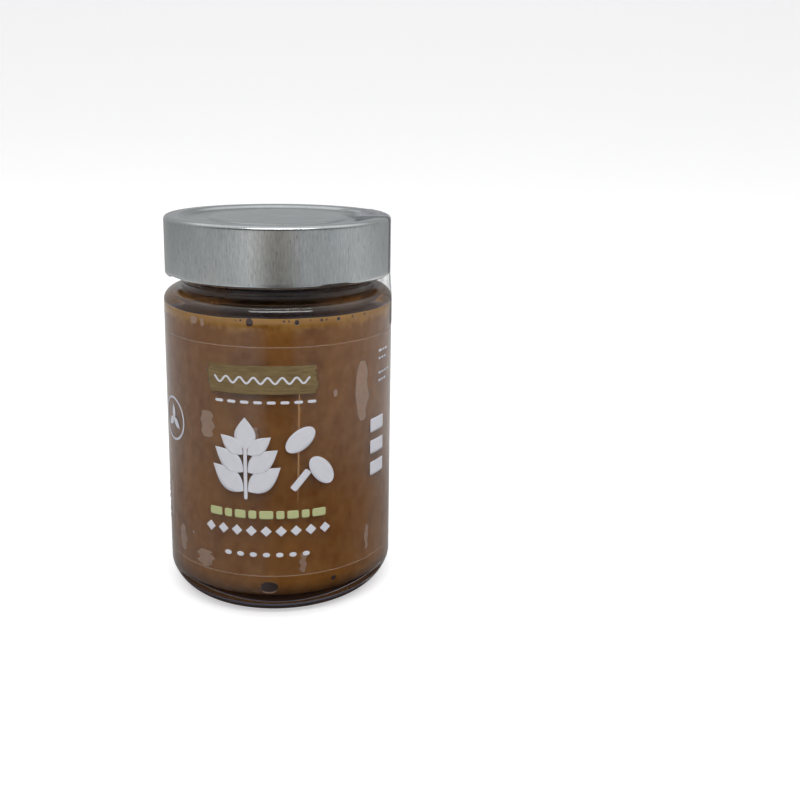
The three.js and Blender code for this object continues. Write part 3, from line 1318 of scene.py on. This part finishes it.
@dataclass
class AirPatches:
    """Pale patches and bubbles of air between the contents and the glass, seen through the wall;
    the patches' pale colour is painted reflection of the air gap, the bubbles' dark colour painted
    shade.
    """

    radius: float
    pale: tuple = (
        Blot(52.4, 68.6, 2.9, 9.6, 0.16, 3), Blot(35.1, 69.8, 0.75, 1.1, 0.1, 5),
        Blot(18.4, 72.2, 0.8, 1.5, 0.2, 6), Blot(-32.0, 60.0, 2.8, 4.2, 0.2, 7),
        Blot(-53.5, 20.0, 1.8, 4.4, 0.25, 8), Blot(-35.5, 16.4, 3.4, 2.8, 0.25, 9),
        Blot(17.5, 17.2, 1.1, 3.0, 0.3, 11), Blot(56.4, 20.4, 0.9, 4.2, 0.3, 12),
        Blot(-39.4, 91.2, 1.6, 1.1, 0.15, 13), Blot(-6.0, 56.0, 1.6, 4.6, 0.4, 14),
        Blot(-44.0, 23.5, 0.4, 0.5, 0.2, 15), Blot(-68.0, 30.0, 1.4, 6.0, 0.35, 16),
        Blot(0.3, 9.6, 2.75, 1.75, 0.05, 17), Blot(47.6, 91.7, 0.36, 0.3, 0.1, 18),
        Blot(56.2, 91.9, 0.3, 0.36, 0.1, 19), Blot(36.8, 92.1, 0.72, 0.6, 0.05, 20),
        Blot(-33.6, 90.9, 0.8, 1.2, 0.2, 41), Blot(60.0, 91.3, 0.25, 0.4, 0.1, 42),
        Blot(15.2, 91.9, 0.78, 0.75, 0.04, 43),
    )
    dark: tuple = (
        Blot(0.3, 9.9, 2.6, 1.6, 0.05, 21), Blot(34.1, 10.6, 0.7, 0.7, 0.05, 22),
        Blot(-7.6, 92.1, 1.0, 1.1, 0.04, 23), Blot(15.2, 92.1, 0.62, 0.7, 0.04, 24),
        Blot(9.0, 92.5, 0.3, 0.3, 0.05, 25), Blot(11.4, 92.5, 0.22, 0.3, 0.05, 26),
        Blot(27.6, 92.4, 0.42, 0.4, 0.05, 27), Blot(30.2, 92.4, 0.3, 0.25, 0.05, 28),
        Blot(36.8, 92.3, 0.5, 0.55, 0.05, 29), Blot(-12.0, 92.6, 0.28, 0.3, 0.05, 30),
        Blot(-14.4, 92.5, 0.18, 0.2, 0.05, 31), Blot(21.8, 92.6, 0.2, 0.2, 0.05, 32),
        Blot(45.2, 92.4, 0.3, 0.25, 0.05, 33), Blot(53.6, 92.5, 0.3, 0.3, 0.05, 34),
    )

    def build(self, pale: InkFinish, dark: InkFinish, shared: SharedGroups) -> None:
        """Makes the pale patches as one piece, and the dark bubbles just outside them."""
        layers = (("air_patches", self.pale, pale, 0.0), ("air_bubbles", self.dark, dark, 0.05))
        for name, blots, finish, out in layers:
            wrap = Wrap(self.radius + out, middle=0.0)
            shapes = [wrap.between(*blot.edges(self.radius)) for blot in blots]
            Shape.joined(shapes).piece(name, finish.material(shared), "peanut_butter")


@dataclass
class SealStrip:
    """The clear strip from the lid's top over its rim and down to the glass."""

    jar: GlassJar
    lid: Lid
    bottom: float
    width: float = 25.0
    turn: float = 102.0
    top_end: float = 24.5
    bend_reach: float = 2.0
    gap: float = 0.1
    thickness: float = 0.1
    columns: int = 24

    @classmethod
    def from_frame(cls, jar: GlassJar, lid: Lid) -> SealStrip:
        """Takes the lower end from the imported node."""
        low, _ = node_box("seal_strip")
        return cls(jar=jar, lid=lid, bottom=float(low[2]))

    def line(self) -> Array:
        """The strip's inner face from the lid's top over the rim and down to the glass wall."""
        lid, rim = self.lid, self.lid.rim + self.gap
        glass, side = self.jar.radius + self.gap, lid.radius + self.gap
        over = arc((lid.radius - lid.rim, lid.top - lid.rim), (rim, rim), 90, 0)
        shoulder = self.jar.shoulder_top - self.jar.shoulder_drop
        down = rounded(
            [
                (side, lid.top - lid.rim, 0),
                (side, lid.bottom, self.bend_reach),
                (glass, shoulder, self.bend_reach),
                (glass, self.bottom, 0),
            ]
        )
        return outline(straight((self.top_end, lid.top + self.gap), over[0], 6), over, down)

    def build(self, finish: FilmFinish, shared: SharedGroups) -> None:
        """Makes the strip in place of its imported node."""
        line = self.line()
        ahead = headings(line)
        lifted = line + self.thickness * np.column_stack((-ahead[:, 1], ahead[:, 0]))
        across = np.linspace(-0.5, 0.5, self.columns) * self.width
        turn = self.turn + np.degrees(across / line[:, :1])
        inner = on_axis_turn(turn, line[:, :1], line[:, 1:])
        outer = on_axis_turn(turn, lifted[:, :1], lifted[:, 1:])
        uv = together(run_along(line)[:, None], across)
        material = finish.material(shared, -self.width / 2, self.width / 2)
        made = sheet(inner, outer, uv, False).piece("seal_strip_clear", material, "seal_film")
        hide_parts("seal_strip")


@dataclass(frozen=True)
class Ring:
    """One level of the surroundings: (turn, strength, warmth) stops, in degrees from -Y to +X.

    The ring fades in over the one below it as a direction rises from low to high degrees.
    """

    low: float
    high: float
    stops: tuple

    def colour(self, strength: float, warmth: float, most: float) -> Colour:
        """A stop's colour as a share of the most that a ramp can hold."""
        share = strength / most
        return (share * (1 + 0.12 * warmth), share, share * (1 - 0.11 * warmth), 1.0)


@dataclass(frozen=True)
class Surroundings:
    """What the studio shows the jar by direction: ground, table top, walls and ceiling."""

    ground: Colour = (0.03, 0.028, 0.032, 1.0)
    rings: tuple = (
        Ring(-34, -29, (
            (-180, 0.35, 0), (-60, 0.50, 0), (-14, 0.42, 0), (0, 0.14, 0), (66, 0.08, 0),
            (90, 0.25, 0), (117, 0.45, 0), (180, 0.35, 0),
        )),
        Ring(-22, -17, (
            (-180, 0.55, 0), (-110, 0.72, 0), (-60, 0.68, 0), (-22, 0.95, -0.3), (-11, 0.62, 0),
            (-4, 0.12, 0), (16, 0.12, 0), (25, 0.54, 0), (66, 0.72, 0), (117, 0.95, 0),
            (180, 0.55, 0),
        )),
        Ring(-11.6, -11.2, (
            (-180, 0.50, 0), (-110, 0.75, 0), (-64, 0.48, 1.5), (-40, 0.26, 2), (-14, 0.04, 2),
            (30, 0.04, 2), (50, 0.26, 2), (72, 0.62, 0), (117, 0.85, 0), (180, 0.50, 0),
        )),
        Ring(-10.2, -9.9, (
            (-180, 0.42, 0), (-80, 0.58, 0), (-20, 0.95, 0.3), (10, 0.76, 0.3), (40, 0.66, 0),
            (90, 0.78, 0), (150, 0.45, 0), (180, 0.42, 0),
        )),
        Ring(-8.9, -8.1, (
            (-180, 0.40, 0), (-150, 0.42, 0), (-117, 0.40, 0), (-80, 0.50, 0), (-48, 0.66, 0),
            (-24, 0.96, 0.2), (-10, 0.80, 0.6), (-2, 0.48, 1), (14, 0.48, 1), (22, 0.70, 0.4),
            (32, 0.76, 0), (56, 0.62, -0.3), (86, 0.80, 0), (124, 0.52, 0), (157, 0.40, 0),
            (180, 0.40, 0),
        )),
        Ring(-2, 2, (
            (-180, 0.46, -0.2), (-140, 0.50, 0), (-90, 0.50, 0), (-50, 0.18, 0), (-8, 0.06, 0),
            (20, 0.06, 0), (60, 0.18, 0), (100, 0.50, 0), (150, 0.50, 0), (180, 0.46, -0.2),
        )),
        Ring(18, 30, (
            (-180, 0.36, 0), (-90, 0.85, 0), (0, 0.18, 0), (90, 0.85, 0), (180, 0.36, 0),
        )),
        Ring(34, 44, (
            (-180, 0.60, 0), (-110, 1.3, 0), (0, 0.5, 0), (110, 1.3, 0), (180, 0.60, 0),
        )),
        Ring(64, 72, ((-180, 1.3, 0), (0, 1.0, 0), (180, 1.3, 0))),
    )
    most: float = 2.0
    shown: float = 1.0

    def level(self, n: Nodes, turn: Socket, ring: Ring) -> Socket:
        """A colour that runs smoothly round the horizon through a ring's stops.

        Args:
            n: the world's node builder.
            turn: the direction's turn, as a share of 0 to 1.
            ring: the stops.

        Returns:
            The colour.
        """
        node = n.add("ShaderNodeValToRGB", turn)
        marks = node.color_ramp.elements
        while len(marks) < len(ring.stops):
            marks.new(0.5)
        for mark, (degrees, strength, warmth) in zip(marks, ring.stops):
            mark.position = (degrees + 180) / 360
            mark.color = ring.colour(strength, warmth, self.most)
        return node.outputs["Color"]

    def build(self) -> bpy.types.World:
        """Mixes the rings by height of direction, and shows the camera a plain pale field."""
        world = bpy.data.worlds.new("studio")
        world.use_nodes = True
        n = Nodes(world.node_tree)
        direction = n.add("ShaderNodeTexCoord").outputs["Generated"]
        toward = n.add("ShaderNodeSeparateXYZ", direction).outputs
        turn = n.math("ARCTAN2", toward["X"], n.times(toward["Y"], -1.0))
        share = n.math("MULTIPLY_ADD", turn, 0.5 / math.pi, 0.5)
        rise = n.times(n.math("ARCSINE", toward["Z"]), 180 / math.pi)
        colour = self.ground
        for ring in self.rings:
            shown = self.level(n, share, ring)
            colour = n.mix(n.between(rise, ring.low, ring.high), colour, shown)
        seen = n.add("ShaderNodeLightPath").outputs["Is Camera Ray"]
        plain = (*[self.shown / self.most] * 3, 1.0)
        light = n.add("ShaderNodeBackground", n.mix(seen, colour, plain), self.most)
        n.add("ShaderNodeOutputWorld", light.outputs[0])
        return world


@dataclass
class Studio:
    """A plain pale floor that bends up into a backdrop, soft light, and the camera."""

    place: Triple = (38.876, -325.474, 153.164)
    pitch: float = 12.41
    roll: float = 0.88
    focal_pixels: float = 1033.1
    centre_row: float = 335.0
    frame_pixels: float = 800.0
    sensor: float = 36.0
    floor_front: float = 2600.0
    floor_back: float = 1400.0
    floor_bend: float = 500.0
    wall_height: float = 1600.0
    half_width: float = 2200.0
    lamp_place: Triple = (90.0, -590.0, 800.0)
    lamp_size: Pair = (900.0, 150.0)
    lamp_watts: float = 4.2
    lamp_aim: Triple = (0.0, 0.0, 60.0)

    def camera(self) -> None:
        """Stands the camera where the photograph was taken, with the shift its framing needs."""
        data = bpy.data.cameras.new("camera")
        data.sensor_width = self.sensor
        data.lens = self.focal_pixels / self.frame_pixels * self.sensor
        data.shift_y = (self.centre_row - self.frame_pixels / 2) / self.frame_pixels
        data.clip_start, data.clip_end = 0.01, 50.0
        made = placed("camera", data)
        made.location = [value * MM for value in self.place]
        made.rotation_mode = "QUATERNION"
        tilt = Matrix.Rotation(math.radians(90.0 - self.pitch), 3, "X")
        turn = Matrix.Rotation(math.radians(self.roll), 3, "Z")
        made.rotation_quaternion = (tilt @ turn).to_quaternion()
        bpy.context.scene.camera = made

    def paper(self) -> bpy.types.Material:
        """Matt pale paper that looks dark through the glass and bright to the camera."""
        material, n, shader = new_material("pale_paper")
        path = n.add("ShaderNodeLightPath").outputs
        pale, dim = (0.80, 0.80, 0.80, 1.0), (0.10, 0.10, 0.13, 1.0)
        none, glow = (0.0, 0.0, 0.0, 1.0), (0.46, 0.46, 0.47, 1.0)
        n.feed(shader, Base_Color=n.mix(path["Is Transmission Ray"], pale, dim))
        n.feed(shader, Emission_Color=n.mix(path["Is Camera Ray"], none, glow))
        n.feed(shader, Roughness=0.9, Emission_Strength=1.0)
        return material

    def backdrop(self) -> None:
        """A floor swept up into a wall by a quarter circle, wide enough for every view."""
        bend = self.floor_bend
        curve = arc((self.floor_back, bend), (bend, bend), -90, 0, 23)
        top = (self.floor_back + bend, self.wall_height)
        line = np.vstack(((-self.floor_front, 0.0), curve, top))
        across = np.array([-self.half_width, self.half_width])
        points = together(across, line[:, :1], line[:, 1:]).reshape(-1, 3)
        mesh = bpy.data.meshes.new("backdrop")
        mesh.from_pydata((points * MM).tolist(), [], grid_quads(len(line), 2, False).tolist())
        mesh.polygons.foreach_set("use_smooth", np.ones(len(mesh.polygons), bool))
        mesh.materials.append(self.paper())
        made = placed("backdrop", mesh)
        made.visible_glossy = False

    def light(self) -> None:
        """Light from all round, and one soft rectangular lamp high in front that faces the jar."""
        bpy.context.scene.world = Surroundings().build()
        bpy.context.scene.view_settings.view_transform = "Standard"
        data = bpy.data.lights.new("front_box", "AREA")
        data.shape = "RECTANGLE"
        data.size, data.size_y = self.lamp_size[0] * MM, self.lamp_size[1] * MM
        data.energy = self.lamp_watts
        made = placed("front_box", data)
        made.location = Vector(self.lamp_place) * MM
        aim = Vector(self.lamp_aim) * MM - made.location
        made.rotation_euler = aim.to_track_quat("-Z", "Y").to_euler()

    def build(self) -> None:
        """Makes the backdrop, the lights and the camera."""
        self.backdrop()
        self.light()
        self.camera()


def main() -> None:
    """Builds the jar's pieces in order, then the studio."""
    logging.basicConfig(level=logging.INFO, format="%(name)s %(message)s")
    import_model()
    shared = SharedGroups()
    jar = GlassJar.from_frame()
    jar.build(GlassFinish(), shared)
    contents = Contents.from_frame(jar)
    contents.build(SpreadFinish(), shared)
    NeckSmear(jar, contents.level).build(SmearFinish(), shared)
    lid = Lid.from_frame()
    lid.build(TinplateFinish(), shared)
    pale, pale_thin = rgb(255, 214, 182), rgb(226, 178, 144)
    # painted reflection: the pale colour of the air gaps; painted shade: the dark colour of the
    # bubbles
    air_gap_reflection = InkFinish("air_gap_reflection", pale, pale_thin, cover=0.92, soft_edge=0.1, roughness=0.5)
    bubble_shade = InkFinish("bubble_shade", rgb(80, 61, 55), rgb(58, 41, 36), roughness=0.4)
    AirPatches(jar.radius - jar.wall + AIR_DEPTH).build(air_gap_reflection, bubble_shade, shared)
    film = LabelFilm.from_frame(jar)
    film.build(FilmFinish("label_film_clear", 0.006, 0.2, 0.3), shared)
    haze, haze_thin = rgb(200, 158, 112), rgb(178, 138, 96)
    film.crease(InkFinish("crease_haze", haze, haze_thin, cover=0.34, soft_edge=0.3), shared)
    inks = {
        "print_white": InkFinish("white_ink", (0.64, 0.64, 0.69, 1.0), (0.50, 0.50, 0.56, 1.0)),
        "print_green": InkFinish("green_ink", (0.46, 0.49, 0.24, 1.0), (0.37, 0.39, 0.19, 1.0)),
        "print_olive": InkFinish(
            "olive_ink", (0.22, 0.155, 0.065, 1.0), (0.125, 0.082, 0.030, 1.0), 0.8
        ),
    }
    LabelPrint(film).build(inks, shared)
    grey, edge_grey = (0.35, 0.36, 0.41, 1.0), (0.10, 0.10, 0.11, 1.0)
    # the last number is the painted highlight at the strip's inner end on the lid
    seal_film = FilmFinish("seal_film", 0.24, 0.55, 0.6, grey, edge_grey, 0.3)
    SealStrip.from_frame(jar, lid).build(seal_film, shared)
    Studio().build()
    bpy.context.view_layer.update()


if __name__ == "__main__":
    main()
